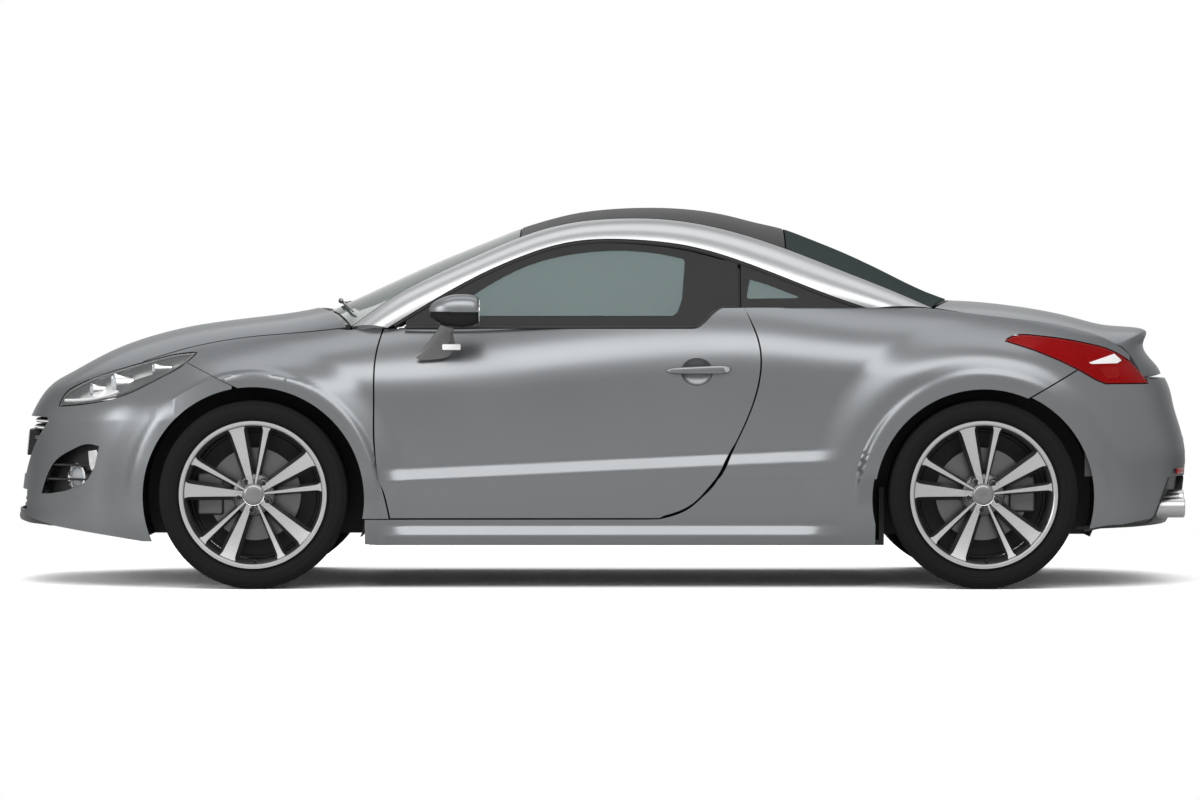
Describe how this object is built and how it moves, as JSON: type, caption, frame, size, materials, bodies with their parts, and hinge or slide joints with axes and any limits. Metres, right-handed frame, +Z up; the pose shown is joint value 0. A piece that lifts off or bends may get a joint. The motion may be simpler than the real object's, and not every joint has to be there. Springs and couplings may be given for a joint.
{
  "type": "coupe car",
  "caption": "Two-door coupe with a double-bubble roof between arched side rails, opening doors, bonnet and boot lid, steered front wheels and a seated cabin.",
  "frame": {"origin": "on the ground, under the middle of the car's bounding box", "axes": "+Z up, nose towards -X, the car's left side towards -Y"},
  "size_m": [4.2874, 2.02, 1.3681],
  "materials": {
    "silver_paint": "metallic lacquer",
    "satin_silver": "satin",
    "dark_paint": "gloss lacquer",
    "tinted_glass": "tinted",
    "clear_lamp": "clear",
    "red_lamp": "clear red",
    "black_plastic": "grained",
    "underbody": "satin black",
    "cast_metal": "as cast",
    "exhaust_steel": "brushed",
    "seat_leather": "stitched",
    "alloy": "machined face",
    "disc_iron": "ground",
    "tyre_rubber": "moulded"
  },
  "bodies": {
    "body": {"floor_pan": "underbody", "side_walls": "black_plastic", "sills": "silver_paint", "fenders": "silver_paint", "quarters": "silver_paint", "front_bumper": "silver_paint", "rear_bumper": "silver_paint", "roof_panel": "dark_paint", "roof_rails": "satin_silver", "windscreen": "tinted_glass", "rear_window": "tinted_glass", "quarter_windows": "tinted_glass", "dashboard": "black_plastic", "front_seats": "seat_leather", "rear_seat": "seat_leather", "engine_block": "cast_metal", "front_subframe": "underbody", "rear_axle_beam": "underbody", "rear_calipers": "cast_metal", "headlamps": "clear_lamp", "tail_lamps": "red_lamp", "grille": "black_plastic", "exhaust": "exhaust_steel", "arch_liners": "black_plastic", "wipers": "black_plastic"},
    "door_left": {"door_left": "silver_paint", "door_glass_left": "tinted_glass", "mirror_left": "silver_paint"},
    "door_right": {"door_right": "silver_paint", "door_glass_right": "tinted_glass", "mirror_right": "silver_paint"},
    "bonnet": {"bonnet": "silver_paint"},
    "boot_lid": {"boot_lid": "silver_paint"},
    "steering_wheel": {"steering_wheel": "black_plastic"},
    "knuckle_left": {"knuckle_left": "cast_metal"},
    "knuckle_right": {"knuckle_right": "cast_metal"},
    "wheel_front_left": {"wheel_front_left": "alloy", "tyre_front_left": "tyre_rubber", "brake_disc_front_left": "disc_iron"},
    "wheel_front_right": {"wheel_front_right": "alloy", "tyre_front_right": "tyre_rubber", "brake_disc_front_right": "disc_iron"},
    "wheel_rear_left": {"wheel_rear_left": "alloy", "tyre_rear_left": "tyre_rubber", "brake_disc_rear_left": "disc_iron"},
    "wheel_rear_right": {"wheel_rear_right": "alloy", "tyre_rear_right": "tyre_rubber", "brake_disc_rear_right": "disc_iron"}
  },
  "joints": [
    {"name": "door_left_hinge", "type": "hinge", "parent": "body", "child": "door_left", "pos_m": [-0.9, -0.882, 0.6], "axis": [0, 0, -1], "range_deg": [0, 65]},
    {"name": "door_right_hinge", "type": "hinge", "parent": "body", "child": "door_right", "pos_m": [-0.9, 0.882, 0.6], "axis": [0, 0, 1], "range_deg": [0, 65]},
    {"name": "bonnet_hinge", "type": "hinge", "parent": "body", "child": "bonnet", "pos_m": [-0.905, 0, 0.945], "axis": [0, 1, 0], "range_deg": [0, 50]},
    {"name": "boot_lid_hinge", "type": "hinge", "parent": "body", "child": "boot_lid", "pos_m": [1.29, 0, 1.022], "axis": [0, -1, 0], "range_deg": [0, 75]},
    {"name": "steer_left", "type": "hinge", "parent": "body", "child": "knuckle_left", "pos_m": [-1.2385, -0.7, 0.336], "axis": [0, 0, 1], "range_deg": [-33, 33]},
    {"name": "steer_right", "type": "hinge", "parent": "body", "child": "knuckle_right", "pos_m": [-1.2385, 0.7, 0.336], "axis": [0, 0, 1], "range_deg": [-33, 33]},
    {"name": "steering_wheel_turn", "type": "hinge", "parent": "body", "child": "steering_wheel", "pos_m": [-0.385, -0.37, 0.8], "axis": [0.9135, 0, 0.4067], "range_deg": [-500, 500]},
    {"name": "spin_front_left", "type": "hinge", "parent": "knuckle_left", "child": "wheel_front_left", "pos_m": [-1.2385, -0.79, 0.336], "axis": [0, -1, 0], "continuous": true},
    {"name": "spin_front_right", "type": "hinge", "parent": "knuckle_right", "child": "wheel_front_right", "pos_m": [-1.2385, 0.79, 0.336], "axis": [0, -1, 0], "continuous": true},
    {"name": "spin_rear_left", "type": "hinge", "parent": "body", "child": "wheel_rear_left", "pos_m": [1.3575, -0.796, 0.336], "axis": [0, -1, 0], "continuous": true},
    {"name": "spin_rear_right", "type": "hinge", "parent": "body", "child": "wheel_rear_right", "pos_m": [1.3575, 0.796, 0.336], "axis": [0, -1, 0], "continuous": true}
  ],
  "couplings": [
    {"joint": "steer_right", "follows": "steer_left", "ratio": 1},
    {"joint": "steering_wheel_turn", "follows": "steer_left", "ratio": 15}
  ]
}
